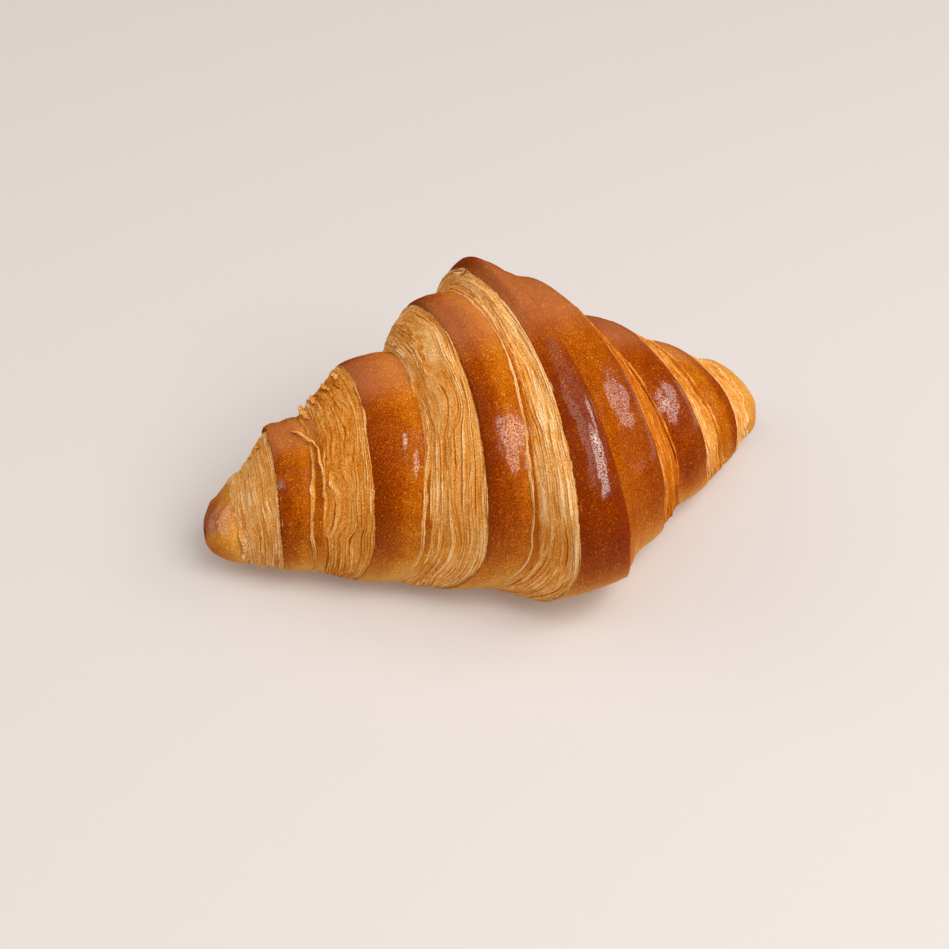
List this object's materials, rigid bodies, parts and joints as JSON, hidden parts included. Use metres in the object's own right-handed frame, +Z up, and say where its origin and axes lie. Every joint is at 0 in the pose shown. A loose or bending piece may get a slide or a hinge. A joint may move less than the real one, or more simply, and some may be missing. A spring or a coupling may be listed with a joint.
{
  "type": "croissant",
  "caption": "Straight rolled croissant: brown crust bands stepped from tip to tip, with sloping faces of thin leaves between them, lying on a flat underside.",
  "frame": {"origin": "centre of the bounding box at the height of the flat underside", "axes": "+X along the length from the left tip to the right tip, +Y towards the hollow side, +Z up"},
  "size_m": [0.1532, 0.1074, 0.0657],
  "materials": {
    "crust": "baked and egg-washed, satin, brown with darker crowns",
    "leaves": "matte golden pastry leaves, lighter than the crust"
  },
  "bodies": {
    "root": {"croissant": "crust"}
  },
  "joints": []
}
